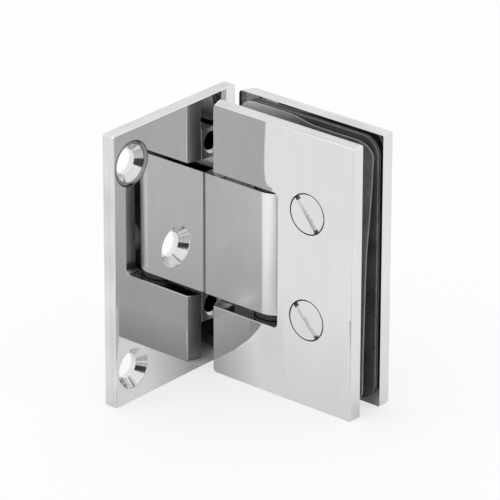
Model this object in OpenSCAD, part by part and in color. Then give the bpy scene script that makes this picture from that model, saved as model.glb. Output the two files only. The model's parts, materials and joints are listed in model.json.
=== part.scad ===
// Wall-to-glass hinge for a shower door. A wall plate carries a knuckle block, and a
// two-plate glass clamp turns on a vertical pin through the block.
// X leaves the wall, Y runs across the wall plate and Z is up. The origin is the
// centre of the middle wall hole, on the wall surface.

/* [Wall plate] */
// Height of the wall plate
wall_h = 90; // [84:1:110]
// Width of the wall plate
wall_w = 56; // [50:1:75]
// Thickness of the wall plate
wall_t = 4.5; // [4:0.5:8]
// Corner radius of the wall plate
wall_corner_r = 0.6; // [0.5:0.1:4]
// Diameter of the wall screw holes
wall_hole_d = 8; // [5:0.5:8.5]
// Diameter of their countersinks
wall_csk_d = 13.2; // [11:0.2:15]
// Distance of the two outer holes from the plate's near edge
wall_hole_inset = 7.9; // [7.6:0.1:11]
// Distance of the two outer holes from the plate's ends
wall_hole_end = 11; // [8:0.5:16]

/* [Knuckle block] */
// Height of the block
block_h = 40.6; // [38:0.2:46]
// Thickness of the block, which is also the diameter of its round end
block_t = 14.8; // [14.2:0.2:18]
// Distance of the pin axis from the wall plate's face
pin_offset = 23; // [22:0.5:30]
// Bevel along the block's edges
block_edge = 0.4; // [0.2:0.1:1]
// Extra width of the block's bore between the bushes
bore_relief = 1; // [0.6:0.1:1.4]

/* [Pin and bearings] */
// Diameter of the pin
pin_d = 8; // [7:0.5:8.5]
// Depth of the four flats in the middle of the pin
pin_flat = 0.9; // [0.5:0.1:1]
// Wall of the bushes
bush_wall = 1.2; // [0.8:0.1:1.5]
// Length of the bushes
bush_len = 8; // [5:0.5:9]
// Diameter of the thrust washers
washer_d = 14; // [12:0.2:14.2]
// Thickness of the thrust washers
washer_t = 2; // [1:0.1:3]

/* [Detent] */
// Width of the plunger
plunger_w = 8; // [7:0.2:8.6]
// Height of the plunger
plunger_h = 18.4; // [17:0.2:19]
// Length of the plunger
plunger_l = 9; // [8:0.5:12]
// Outer diameter of the springs
spring_d = 5.4; // [4:0.2:6]
// Wire diameter of the springs
spring_wire = 0.9; // [0.6:0.1:1.1]
// Turns of the springs
spring_turns = 7; // [5:1:8]
// Distance between the two spring axes
spring_pitch = 9.2; // [8:0.2:10]
// Depth of the spring pockets in the plunger
spring_seat = 6; // [4:0.5:6.5]

/* [Clamp] */
// Height of the clamp plates
clamp_h = 90; // [86:1:110]
// Width of the clamp plates on their outer faces
clamp_w = 55; // [50:1:70]
// Thickness of the clamp plates
plate_t = 4.5; // [4:0.5:6]
// Corner radius at the free edge
plate_corner_r = 0.6; // [0.5:0.1:4]
// Bevel along the outer edges of all plates
plate_edge = 0.3; // [0.2:0.1:0.8]
// Radius in the inner corners of the notch
notch_r = 1.8; // [0.8:0.1:3]
// Gap that the clamp keeps to the wall plate as it swings
wall_gap = 3; // [2:0.1:4]
// Height of each lug that holds the pin
lug_h = 10; // [8:0.5:12]
// Length of the lugs beyond the pin axis
lug_tail = 8; // [7:0.5:9]

/* [Glass seat] */
// Thickness of the glass that the clamp takes
glass_t = 8; // [6:1:12]
// Thickness of the gaskets
gasket_t = 0.8; // [0.5:0.1:2]
// Distance of the gaskets from the plate edges
gasket_inset = 1.5; // [1:0.1:3]
// Corner radius of the gaskets
gasket_r = 6; // [3:0.5:8]

/* [Clamp screws] */
// Thread diameter of the clamp screws
screw_d = 6; // [5:0.5:6]
// Diameter of their heads
screw_head_d = 13.2; // [11:0.2:14]
// Height of their heads
screw_head_t = 3; // [2:0.1:3]
// Thread depth in the rear plate
screw_grip = 3; // [2:0.1:3]
// Width of the slots
slot_w = 1.5; // [1:0.1:2]
// Depth of the slots
slot_depth = 1.6; // [1:0.1:1.8]
// Angle of the slots as left in the photograph
slot_angle = -51; // [-90:1:90]
// Distance of the screws from the free edge
screw_inset = 17.8; // [14:0.2:19]
// Distance between the two screws
screw_pitch = 35.2; // [33:0.2:38]
// Height of the screws' midpoint above the clamp's middle
screw_rise = 1.4; // [-2:0.1:2]
// Diameter of the threaded collars
collar_d = 9.5; // [9:0.1:10.5]
// Height of the threaded collars
collar_h = 7; // [4:0.5:7.5]
// Wall of the plastic sleeves
sleeve_wall = 1.3; // [0.8:0.1:1.8]

/* [Fixing screws] */
// Thread diameter of the grub screws
grub_d = 6; // [5:0.5:6]
// Length of the grub screws
grub_len = 8; // [6:0.5:9]
// Depth of the flats under the grub screws
grub_flat = 0.5; // [0.3:0.1:0.8]
// Diameter of the countersunk mouths of the grub screw holes
grub_mouth_d = 7.6; // [7:0.1:8.4]
// Thread diameter of the block screws
block_screw_d = 6; // [5:0.5:6]
// Head diameter of the block screws
block_screw_head_d = 11; // [10:0.2:11.6]
// Thread depth in the block
block_screw_grip = 11; // [8:0.5:12]
// Distance between the block screws
block_screw_pitch = 30; // [29:0.2:31]
// Depth of the hexagon sockets in the block screws
block_socket = 2.2; // [1.5:0.1:3]

/* [Clearances] */
// Radial running gap between pin and bushes
run_gap = 0.05; // [0.02:0.01:0.1]
// Gap at seats and threads
fit_gap = 0.02; // [0.01:0.01:0.05]
// Gap round sliding and loose pieces
slide_gap = 0.2; // [0.1:0.05:0.4]
// Gap between the notch and the block's round end
knuckle_gap = 0.5; // [0.4:0.1:1]
// Gap round the clamp screw heads
head_gap = 0.35; // [0.2:0.05:0.6]
// Gap between the lugs and the cover plate, for tightening
lug_relief = 0.4; // [0.3:0.1:0.6]

/* [Hidden] */
$fn = 64;
// How far the cuts run out past a face
past = 1;

pin_x = wall_t + pin_offset;
pin_y = wall_w / 2 - block_t / 2;
wall_hole_y = wall_hole_inset - wall_w / 2;
wall_hole_z = wall_h / 2 - wall_hole_end;

notch_h = block_h + 2 * (washer_t + slide_gap);
notch_end = block_t / 2 + knuckle_gap;
plate_gap = glass_t + 2 * gasket_t;
clamp_half = plate_gap / 2 + plate_t;
swing_r = pin_offset - wall_gap;
clamp_reach = clamp_w - sqrt(pow(swing_r, 2) - pow(clamp_half, 2));
pin_len = notch_h + 2 * lug_h;
lug_z = (notch_h + lug_h) / 2;
screw_u = clamp_reach - screw_inset;

bush_d = pin_d + 2 * (run_gap + bush_wall);
pocket_w = plunger_w + 2 * slide_gap;
pocket_h = plunger_h + 2 * slide_gap;
plunger_x = -pin_d / 2 - slide_gap / 2;
spring_from = -pin_offset + slide_gap / 2;
spring_to = plunger_x - plunger_l + spring_seat - slide_gap / 2;
cam_h = pocket_h + 2 * slide_gap;

chrome = [0.78, 0.79, 0.8];
steel = [0.6, 0.61, 0.62];
rubber = [0.12, 0.12, 0.12];
nylon = [0.85, 0.85, 0.82];

module rounded_rect(w, h, r) {
    square([w - 2 * r, h], center = true);
    square([w, h - 2 * r], center = true);
    for (sx = [-1, 1], sy = [-1, 1])
        translate([sx * (w / 2 - r), sy * (h / 2 - r)])
            circle(r = r);
}

// Section of a plate from its plain face at x = 0 to its bevelled face at x = t
module bevelled_section(t, w) {
    polygon([[0, -w / 2], [t - plate_edge, -w / 2], [t, -w / 2 + plate_edge],
        [t, w / 2 - plate_edge], [t - plate_edge, w / 2], [0, w / 2]]);
}

// Extrudes a profile drawn in Y and Z along +X
module along_x(len) {
    rotate([90, 0, 90])
        linear_extrude(height = len)
            children();
}

// Extrudes a profile drawn in X and Z along +Y
module along_y(len) {
    mirror([0, 1, 0])
        rotate([90, 0, 0])
            linear_extrude(height = len)
                children();
}

module at_pin() {
    translate([pin_x, pin_y, 0])
        children();
}

// Runs a piece drawn along +Z so that it lies along +X
module aim_x() {
    rotate([0, 90, 0])
        children();
}

// Runs a piece drawn along +Z so that it lies along +Y
module aim_y() {
    rotate([-90, 0, 0])
        children();
}

module wall_hole() {
    aim_x() {
        translate([0, 0, -past])
            cylinder(d = wall_hole_d, h = wall_t + 2 * past);
        translate([0, 0, wall_t - (wall_csk_d - wall_hole_d) / 2])
            cylinder(d1 = wall_hole_d, d2 = wall_csk_d, h = (wall_csk_d - wall_hole_d) / 2);
        translate([0, 0, wall_t])
            cylinder(d = wall_csk_d, h = past);
    }
}

module block_screw_shape(grow) {
    head_r = block_screw_head_d / 2 + grow;
    shank_r = block_screw_d / 2 + grow;
    tip = wall_t + block_screw_grip + grow;
    rotate_extrude()
        polygon([[0, 0], [head_r, 0], [head_r, 0.2], [shank_r, 0.2 + head_r - shank_r],
            [shank_r, tip - 0.6], [shank_r - 0.6, tip], [0, tip]]);
}

module block_screw(side) {
    color(steel)
        translate([slide_gap / 2, pin_y, side * block_screw_pitch / 2])
            aim_x()
                difference() {
                    block_screw_shape(0);
                    translate([0, 0, -past])
                        cylinder(r = block_screw_d / 3, h = block_socket + past, $fn = 6);
                }
}

module block_screw_holes() {
    for (side = [-1, 1])
        translate([0, pin_y, side * block_screw_pitch / 2])
            aim_x() {
                block_screw_shape(slide_gap / 2);
                translate([0, 0, -past])
                    cylinder(d = block_screw_head_d + slide_gap, h = past + slide_gap / 2);
            }
}

module wall_plate() {
    color(chrome)
        difference() {
            intersection() {
                along_x(wall_t)
                    rounded_rect(wall_w, wall_h, wall_corner_r);
                translate([0, 0, -wall_h / 2])
                    linear_extrude(height = wall_h)
                        bevelled_section(wall_t, wall_w);
                translate([0, -wall_w / 2, 0])
                    along_y(wall_w)
                        bevelled_section(wall_t, wall_h);
            }
            wall_hole();
            for (side = [-1, 1])
                translate([0, wall_hole_y, side * wall_hole_z])
                    wall_hole();
            block_screw_holes();
        }
}

// Straight part of the block from the wall plate to the pin axis, and its round end
module block_body() {
    half = block_t / 2;
    top = block_h / 2;
    translate([wall_t, pin_y, 0])
        along_x(pin_offset)
            polygon([[half, block_edge - top], [half, top - block_edge], [half - block_edge, top],
                [block_edge - half, top], [-half, top - block_edge], [-half, block_edge - top],
                [block_edge - half, -top], [half - block_edge, -top]]);
    at_pin()
        rotate_extrude()
            polygon([[0, -top], [half - block_edge, -top], [half, block_edge - top],
                [half, top - block_edge], [half - block_edge, top], [0, top]]);
}

module knuckle_block() {
    color(chrome)
        difference() {
            block_body();
            at_pin() {
                cylinder(d = pin_d + bore_relief, h = block_h + 2 * past, center = true);
                for (side = [-1, 1])
                    translate([0, 0, side * (block_h - bush_len + past) / 2])
                        cylinder(d = bush_d + 2 * fit_gap, h = bush_len + past, center = true);
                translate([-pin_offset - past, -pocket_w / 2, -pocket_h / 2])
                    cube([pin_offset + past, pocket_w, pocket_h]);
            }
            block_screw_holes();
        }
}

module pivot_pin() {
    bevel = 0.5;
    r = pin_d / 2;
    end = pin_len / 2 - slide_gap;
    color(steel)
        at_pin()
            difference() {
                rotate_extrude()
                    polygon([[0, -end], [r - bevel, -end], [r, bevel - end],
                        [r, end - bevel], [r - bevel, end], [0, end]]);
                for (quarter = [0:3])
                    rotate(90 * quarter)
                        translate([r - pin_flat, -r, -cam_h / 2])
                            cube([r, pin_d, cam_h]);
                for (side = [-1, 1])
                    translate([-r - past, -r, side * lug_z - lug_h * 0.3])
                        cube([past + grub_flat, pin_d, lug_h * 0.6]);
            }
}

module bush(side) {
    color(nylon)
        at_pin()
            translate([0, 0, side * (block_h - bush_len) / 2])
                difference() {
                    cylinder(d = bush_d, h = bush_len, center = true);
                    cylinder(d = pin_d + 2 * run_gap, h = bush_len + 2 * past, center = true);
                }
}

module thrust_washer(side) {
    color(rubber)
        at_pin()
            translate([0, 0, side * (block_h + washer_t) / 2])
                difference() {
                    cylinder(d = washer_d, h = washer_t, center = true);
                    cylinder(d = pin_d + 2 * slide_gap, h = washer_t + 2 * past, center = true);
                }
}

module detent_plunger() {
    color(steel)
        at_pin()
            difference() {
                translate([plunger_x - plunger_l, -plunger_w / 2, -plunger_h / 2])
                    cube([plunger_l, plunger_w, plunger_h]);
                for (side = [-1, 1])
                    translate([plunger_x - plunger_l - past, 0, side * spring_pitch / 2])
                        aim_x()
                            cylinder(d = spring_d + 2 * slide_gap, h = spring_seat + past);
            }
}

// Closed tube swept along a helix, in rings of points round the wire
module coil(turns, mean_r, wire_r, height) {
    steps = 16;
    sides = 8;
    rings = turns * steps;
    rise = height - 2 * wire_r;
    slope = atan(rise / (turns * 360 * mean_r * PI / 180));
    points = [for (i = [0:rings], j = [0:sides - 1])
        let (turn = 360 * i / steps, around = 360 * j / sides,
            reach = mean_r + wire_r * cos(around),
            lift = wire_r * sin(around))
        [reach * cos(turn) + lift * sin(slope) * sin(turn),
            reach * sin(turn) - lift * sin(slope) * cos(turn),
            wire_r + rise * i / rings + lift * cos(slope)]];
    walls = [for (i = [0:rings - 1], j = [0:sides - 1])
        let (a = i * sides + j, b = i * sides + (j + 1) % sides)
        [a, a + sides, b + sides, b]];
    first = [for (j = [0:sides - 1]) j];
    last = [for (j = [sides - 1:-1:0]) rings * sides + j];
    polyhedron(points, concat(walls, [first], [last]), convexity = 10);
}

module detent_spring(side) {
    color(steel)
        at_pin()
            translate([spring_from, 0, side * spring_pitch / 2])
                aim_x()
                    coil(spring_turns, (spring_d - spring_wire) / 2, spring_wire / 2, spring_to - spring_from);
}

// Rear clamp plate, drawn from the pin axis: its plan, its face and its end view meet
module clamp_plate() {
    mouth = swing_r + past;
    intersection() {
        translate([0, 0, -clamp_h / 2])
            linear_extrude(height = clamp_h)
                intersection() {
                    polygon([[-mouth, plate_gap / 2], [clamp_reach, plate_gap / 2],
                        [clamp_reach, clamp_half - plate_edge], [clamp_reach - plate_edge, clamp_half],
                        [-mouth, clamp_half]]);
                    union() {
                        circle(r = swing_r, $fn = 180);
                        square([clamp_reach, swing_r]);
                    }
                }
        along_y(clamp_half)
            difference() {
                union() {
                    translate([clamp_reach / 2, 0])
                        rounded_rect(clamp_reach, clamp_h, plate_corner_r);
                    translate([-mouth, -clamp_h / 2])
                        square([2 * mouth, clamp_h]);
                }
                translate([-mouth, 0])
                    rounded_rect(2 * (mouth + notch_end), notch_h, notch_r);
            }
        translate([-mouth, 0, 0])
            along_x(mouth + clamp_reach)
                translate([plate_gap / 2, 0])
                    bevelled_section(plate_t, clamp_h);
    }
}

// Lug between the plates, from the swing arc to just past the pin
module lug() {
    front = plate_gap / 2 - lug_relief;
    linear_extrude(height = lug_h, center = true)
        intersection() {
            translate([-swing_r, -front])
                square([swing_r + lug_tail, front + clamp_half - plate_t / 2]);
            union() {
                circle(r = swing_r - slide_gap, $fn = 180);
                translate([0, -front])
                    square([lug_tail, 2 * clamp_half]);
            }
        }
}

module grub_hole() {
    mouth = swing_r - slide_gap;
    flare = (grub_mouth_d - grub_d) / 2;
    mirror([1, 0, 0])
        aim_x() {
            cylinder(d = grub_d, h = mouth + past);
            translate([0, 0, mouth - flare])
                cylinder(d1 = grub_d, d2 = grub_mouth_d, h = flare);
            translate([0, 0, mouth])
                cylinder(d = grub_mouth_d, h = past);
        }
}

module at_screw(side) {
    translate([screw_u, 0, screw_rise + side * screw_pitch / 2])
        children();
}

module clamp_body() {
    color(chrome)
        at_pin()
            difference() {
                union() {
                    clamp_plate();
                    for (side = [-1, 1]) {
                        translate([0, 0, side * lug_z])
                            lug();
                        at_screw(side)
                            translate([0, plate_gap / 2 - collar_h, 0])
                                aim_y()
                                    cylinder(d = collar_d, h = collar_h + plate_t / 2);
                    }
                }
                cylinder(r = pin_d / 2 + fit_gap, h = pin_len + 2 * past, center = true);
                for (side = [-1, 1]) {
                    translate([0, 0, side * lug_z])
                        grub_hole();
                    at_screw(side)
                        translate([0, -plate_gap / 2, 0])
                            aim_y()
                                cylinder(d = screw_d, h = plate_gap + screw_grip + slide_gap);
                }
            }
}

module cover_plate() {
    seat_d = screw_head_d + 2 * head_gap;
    color(chrome)
        at_pin()
            difference() {
                mirror([0, 1, 0])
                    clamp_plate();
                for (side = [-1, 1])
                    at_screw(side)
                        translate([0, -clamp_half, 0])
                            aim_y() {
                                cylinder(d = screw_d + 3 * slide_gap, h = plate_t + past);
                                translate([0, 0, -past])
                                    cylinder(d = seat_d, h = screw_head_t + past);
                            }
            }
}

// Gasket sheet with round corners, cut out round the lugs and bored at the screws
module gasket_sheet(bore_d) {
    left = gasket_inset - sqrt(pow(swing_r, 2) - pow(plate_gap / 2, 2));
    right = clamp_reach - gasket_inset;
    along_y(gasket_t)
        difference() {
            translate([(left + right) / 2, 0])
                rounded_rect(right - left, clamp_h - 2 * gasket_inset, gasket_r);
            translate([-swing_r, -lug_z - lug_h / 2 - gasket_t])
                square([swing_r + lug_tail + gasket_t, 2 * lug_z + lug_h + 2 * gasket_t]);
            for (side = [-1, 1])
                translate([screw_u, screw_rise + side * screw_pitch / 2])
                    circle(d = bore_d);
        }
}

module front_gasket() {
    color(rubber)
        at_pin()
            translate([0, -plate_gap / 2, 0])
                gasket_sheet(screw_d + 3 * slide_gap);
}

module rear_gasket() {
    color(rubber)
        at_pin()
            translate([0, glass_t / 2, 0])
                gasket_sheet(collar_d + 2 * slide_gap);
}

module clamp_screw(side) {
    bevel = 0.3;
    head_r = screw_head_d / 2;
    shank_r = screw_d / 2 - fit_gap;
    tip = plate_t + plate_gap + screw_grip;
    color(chrome)
        at_pin()
            at_screw(side)
                translate([0, -clamp_half, 0])
                    aim_y()
                        difference() {
                            rotate_extrude()
                                polygon([[0, 0], [head_r - bevel, 0], [head_r, bevel],
                                    [head_r, screw_head_t], [shank_r, screw_head_t],
                                    [shank_r, tip - 2 * bevel], [shank_r - 2 * bevel, tip], [0, tip]]);
                            rotate(-slot_angle)
                                translate([-head_r - past, -slot_w / 2, -past])
                                    cube([screw_head_d + 2 * past, slot_w, slot_depth + past]);
                        }
}

module screw_sleeve(side) {
    bore_d = collar_d + 2 * slide_gap;
    color(nylon)
        at_pin()
            at_screw(side)
                translate([0, -glass_t / 2, 0])
                    aim_y()
                        difference() {
                            cylinder(d = bore_d + 2 * sleeve_wall, h = glass_t);
                            translate([0, 0, -past])
                                cylinder(d = bore_d, h = glass_t + 2 * past);
                        }
}

module grub_screw(side) {
    bevel = 0.5;
    r = grub_d / 2 - fit_gap;
    tip = pin_d / 2 - grub_flat + fit_gap;
    color(steel)
        at_pin()
            translate([0, 0, side * lug_z])
                mirror([1, 0, 0])
                    aim_x()
                        translate([0, 0, tip])
                            difference() {
                                rotate_extrude()
                                    polygon([[0, 0], [r - 2 * bevel, 0], [r, 2 * bevel],
                                        [r, grub_len - bevel], [r - bevel, grub_len], [0, grub_len]]);
                                translate([0, 0, grub_len / 2])
                                    cylinder(r = grub_d * 0.28, h = grub_len, $fn = 6);
                            }
}

wall_plate();
knuckle_block();
block_screw(1);  // block_screw_upper
block_screw(-1);  // block_screw_lower
pivot_pin();
bush(1);  // bush_upper
bush(-1);  // bush_lower
thrust_washer(1);  // thrust_washer_upper
thrust_washer(-1);  // thrust_washer_lower
detent_plunger();
detent_spring(1);  // detent_spring_upper
detent_spring(-1);  // detent_spring_lower
clamp_body();
cover_plate();
front_gasket();
rear_gasket();
clamp_screw(1);  // clamp_screw_upper
clamp_screw(-1);  // clamp_screw_lower
screw_sleeve(1);  // screw_sleeve_upper
screw_sleeve(-1);  // screw_sleeve_lower
grub_screw(1);  // grub_screw_upper
grub_screw(-1);  // grub_screw_lower
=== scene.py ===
# Polished glass door hinge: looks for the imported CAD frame.
# Shapes and dictionaries are in millimetres, Blender's own objects in metres.
import json
import math

import bmesh
import bpy
from mathutils import Matrix, Vector

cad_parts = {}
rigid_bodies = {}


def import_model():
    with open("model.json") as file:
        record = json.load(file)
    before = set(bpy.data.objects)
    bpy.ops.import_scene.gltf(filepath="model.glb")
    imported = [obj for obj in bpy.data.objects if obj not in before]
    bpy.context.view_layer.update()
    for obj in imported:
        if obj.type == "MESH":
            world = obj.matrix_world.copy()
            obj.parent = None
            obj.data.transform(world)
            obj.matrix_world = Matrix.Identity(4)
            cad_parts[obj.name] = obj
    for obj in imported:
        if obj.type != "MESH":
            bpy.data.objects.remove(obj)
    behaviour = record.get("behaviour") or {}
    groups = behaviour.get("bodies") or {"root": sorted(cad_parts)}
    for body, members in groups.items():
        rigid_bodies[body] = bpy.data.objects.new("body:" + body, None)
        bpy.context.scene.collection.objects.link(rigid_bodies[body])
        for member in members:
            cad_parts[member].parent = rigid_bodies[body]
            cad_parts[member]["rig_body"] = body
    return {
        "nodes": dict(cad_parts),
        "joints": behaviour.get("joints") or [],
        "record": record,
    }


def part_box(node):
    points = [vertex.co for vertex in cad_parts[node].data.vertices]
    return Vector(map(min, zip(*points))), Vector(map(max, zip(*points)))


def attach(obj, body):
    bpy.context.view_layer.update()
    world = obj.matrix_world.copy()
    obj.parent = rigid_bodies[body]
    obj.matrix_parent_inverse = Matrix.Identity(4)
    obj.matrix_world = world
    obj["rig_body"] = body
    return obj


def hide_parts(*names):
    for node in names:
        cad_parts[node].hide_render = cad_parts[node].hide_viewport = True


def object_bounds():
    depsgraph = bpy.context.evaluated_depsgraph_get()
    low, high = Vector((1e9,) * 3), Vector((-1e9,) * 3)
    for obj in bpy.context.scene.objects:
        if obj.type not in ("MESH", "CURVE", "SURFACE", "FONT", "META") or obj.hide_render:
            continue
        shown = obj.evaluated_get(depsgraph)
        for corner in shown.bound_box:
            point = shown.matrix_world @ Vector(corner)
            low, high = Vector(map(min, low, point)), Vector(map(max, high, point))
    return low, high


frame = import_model()
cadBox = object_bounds()
nodes = frame["nodes"]
mm = 0.001
hair = 0.001    # a point this close to a plane lies on it
past = 1.0    # cutters reach this far past what they cut
print("frame loaded:", len(nodes), "nodes")

# camera: a long lens looking down at the hinge from the front right
cameraSet = {
    "azimuth": 40.277, "elevation": 24.152, "roll": -0.149,
    "lens": 324.516, "sensor": 36.0,
    "target": (29.5, 2.0, 0.0),
    "across": -2.291, "upward": -4.912, "distance": 1367.593,
    "clipEnd": 50,    # metres
}


def makeCamera(spec):
    az = math.radians(spec["azimuth"])
    el = math.radians(spec["elevation"])
    back = Vector((math.sin(az) * math.cos(el), -math.cos(az) * math.cos(el), math.sin(el)))
    right = (-back).cross(Vector((0, 0, 1))).normalized()
    right = Matrix.Rotation(math.radians(spec["roll"]), 3, -back) @ right
    up = back.cross(right)
    data = bpy.data.cameras.new("productCamera")
    data.sensor_width = spec["sensor"]
    data.lens = spec["lens"]
    data.clip_end = spec["clipEnd"]
    camera = bpy.data.objects.new("productCamera", data)
    spot = Vector(spec["target"]) - right * spec["across"] - up * spec["upward"] + back * spec["distance"]
    camera.matrix_world = Matrix.Translation(spot * mm) @ Matrix((right, up, back)).transposed().to_4x4()
    bpy.context.scene.collection.objects.link(camera)
    bpy.context.scene.camera = camera


makeCamera(cameraSet)
bpy.context.scene.view_settings.view_transform = "Standard"
print("camera set")


# node helpers: every material is a small tree on object coordinates
class Tree:
    def __init__(self, name):
        self.material = bpy.data.materials.new(name)
        self.material.use_nodes = True
        self.tree = self.material.node_tree
        self.tree.nodes.clear()
        self.output = self.add("ShaderNodeOutputMaterial")
        self.coords = self.add("ShaderNodeTexCoord").outputs["Object"]

    def add(self, kind, **settings):
        node = self.tree.nodes.new(kind)
        for key, value in settings.items():
            setattr(node, key, value)
        return node

    def link(self, source, target):
        self.tree.links.new(source, target)

    def noise(self, scale, detail=3.0, rough=0.5, stretch=(1, 1, 1)):
        place = self.add("ShaderNodeMapping")
        place.inputs["Scale"].default_value = stretch
        self.link(self.coords, place.inputs["Vector"])
        tex = self.add("ShaderNodeTexNoise")
        tex.inputs["Scale"].default_value = scale
        tex.inputs["Detail"].default_value = detail
        tex.inputs["Roughness"].default_value = rough
        self.link(place.outputs["Vector"], tex.inputs["Vector"])
        return tex.outputs["Fac"]

    def remap(self, source, low, high, outLow=0, outHigh=1):
        node = self.add("ShaderNodeMapRange")
        for key, value in zip(("From Min", "From Max", "To Min", "To Max"), (low, high, outLow, outHigh)):
            node.inputs[key].default_value = value
        self.link(source, node.inputs["Value"])
        return node.outputs["Result"]

    # a colour may be three numbers or another node's output
    def mixColour(self, factor, first, second):
        node = self.add("ShaderNodeMix", data_type="RGBA")
        self.link(factor, node.inputs["Factor"])
        for key, value in (("A", first), ("B", second)):
            if hasattr(value, "is_linked"):
                self.link(value, node.inputs[key])
            else:
                node.inputs[key].default_value = (*value, 1)
        return node.outputs["Result"]

    def bump(self, height, distance, strength=1.0):
        node = self.add("ShaderNodeBump")
        node.inputs["Distance"].default_value = distance
        node.inputs["Strength"].default_value = strength
        self.link(height, node.inputs["Height"])
        return node.outputs["Normal"]

    def surface(self, **values):
        shader = self.add("ShaderNodeBsdfPrincipled")
        for key, value in values.items():
            socket = shader.inputs[key.replace("_", " ")]
            if hasattr(value, "is_linked"):
                self.link(value, socket)
            else:
                socket.default_value = value
        self.link(shader.outputs["BSDF"], self.output.inputs["Surface"])
        return shader


# polished chrome: faint waviness of the buffed face, fine haze and wiping marks (heights in metres)
chromeLook = {
    "bright": (0.79, 0.793, 0.798), "dull": (0.76, 0.763, 0.768), "rough": (0.02, 0.05),
    "hazeScale": 900.0, "smearScale": 120.0, "smearStretch": (1.0, 1.0, 0.35),
    "waveScale": 38.0, "waveHeight": 0.00001,
}


def chromeMaterial(name, **changes):
    look = dict(chromeLook, **changes)
    t = Tree(name)
    haze = t.noise(look["hazeScale"], detail=4, rough=0.6)
    smear = t.noise(look["smearScale"], detail=3, rough=0.55, stretch=look["smearStretch"])
    wave = t.noise(look["waveScale"], detail=0.5, rough=0.4)
    colour = t.mixColour(t.remap(smear, 0.35, 0.65), look["bright"], look["dull"])
    rough = t.remap(haze, 0.3, 0.75, *look["rough"])
    t.surface(Base_Color=colour, Metallic=1.0, Roughness=rough, Normal=t.bump(wave, look["waveHeight"]))
    return t.material


# sawn, turned and buffed places: faint streaks, laid one way by how the noise is stretched
streakLook = {
    "bright": (0.77, 0.775, 0.785), "dull": (0.6, 0.605, 0.615), "rough": (0.06, 0.17),
    "cloudScale": 70.0, "streakHeight": 0.000006,
}


def streakMaterial(name, stretch, **changes):
    look = dict(streakLook, **changes)
    t = Tree(name)
    streak = t.noise(1.0, detail=4, rough=0.55, stretch=stretch)
    cloud = t.noise(look["cloudScale"], detail=2)
    both = t.add("ShaderNodeMath", operation="ADD")
    t.link(t.remap(streak, 0.3, 0.7, 0, 0.7), both.inputs[0])
    t.link(t.remap(cloud, 0.35, 0.7, -0.1, 0.4), both.inputs[1])
    colour = t.mixColour(both.outputs["Value"], look["bright"], look["dull"])
    rough = t.remap(streak, 0.3, 0.7, *look["rough"])
    t.surface(Base_Color=colour, Metallic=1.0, Roughness=rough, Normal=t.bump(streak, look["streakHeight"]))
    return t.material


# turned steel: fine grain and faint stains
steelLook = {
    "bright": (0.62, 0.62, 0.63), "dull": (0.42, 0.42, 0.43), "rough": (0.22, 0.4),
    "grainScale": 1500.0, "grainStretch": (1, 1, 0.2), "grainHeight": 0.00001, "stainScale": 160.0,
}


def steelMaterial(name, look):
    t = Tree(name)
    grain = t.noise(look["grainScale"], detail=4, rough=0.6, stretch=look["grainStretch"])
    stain = t.noise(look["stainScale"], detail=4, rough=0.6)
    colour = t.mixColour(t.remap(stain, 0.35, 0.7), look["bright"], look["dull"])
    rough = t.remap(grain, 0.3, 0.7, *look["rough"])
    normal = t.bump(grain, look["grainHeight"], strength=0.6)
    t.surface(Base_Color=colour, Metallic=1.0, Roughness=rough, Normal=normal)
    return t.material


# moulded rubber and nylon: fine grain and cloudy patches
mouldedLook = {"rough": (0.35, 0.5), "grainScale": 2200.0, "grainHeight": 0.00002, "cloudScale": 140.0}


def mouldedMaterial(name, base, cloudy, **changes):
    look = dict(mouldedLook, **changes)
    t = Tree(name)
    grain = t.noise(look["grainScale"], detail=3, rough=0.6)
    cloud = t.noise(look["cloudScale"], detail=4, rough=0.6)
    colour = t.mixColour(t.remap(cloud, 0.35, 0.7), base, cloudy)
    rough = t.remap(cloud, 0.3, 0.7, *look["rough"])
    normal = t.bump(grain, look["grainHeight"], strength=0.5)
    t.surface(Base_Color=colour, Roughness=rough, Normal=normal)
    return t.material


# rubber whose free corner is paler: a painted sheen where the bent flap leans up to the light
sheenLook = dict(mouldedLook, base=(0.06, 0.06, 0.061), cloudy=(0.11, 0.11, 0.11), pale=(0.62, 0.62, 0.61),
                 alongX=(13.0, 38.0), alongZ=(35.0, 43.0), rough=(0.24, 0.5), cloudScale=260.0)


def chalkedRubber(look):
    t = Tree("chalkedRubber")
    split = t.add("ShaderNodeSeparateXYZ")
    t.link(t.coords, split.inputs["Vector"])
    across = t.remap(split.outputs["X"], *[x * mm for x in look["alongX"]], 1, 0)
    upward = t.remap(split.outputs["Z"], *[z * mm for z in look["alongZ"]])
    # the mask grows towards the flap's upper free corner, where the rubber is painted paler as a sheen
    sheenMask = t.add("ShaderNodeMath", operation="MULTIPLY")
    t.link(across, sheenMask.inputs[0])
    t.link(upward, sheenMask.inputs[1])
    cloud = t.noise(look["cloudScale"], detail=4, rough=0.6)
    colour = t.mixColour(t.remap(cloud, 0.35, 0.7), look["base"], look["cloudy"])
    colour = t.mixColour(sheenMask.outputs["Value"], colour, look["pale"])
    rough = t.remap(cloud, 0.3, 0.7, *look["rough"])
    normal = t.bump(t.noise(look["grainScale"], detail=3, rough=0.6), look["grainHeight"], strength=0.5)
    t.surface(Base_Color=colour, Roughness=rough, Normal=normal)
    return t.material


def cool(tone):
    return (tone, tone, tone + 0.005)    # grey with a trace of blue


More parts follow.
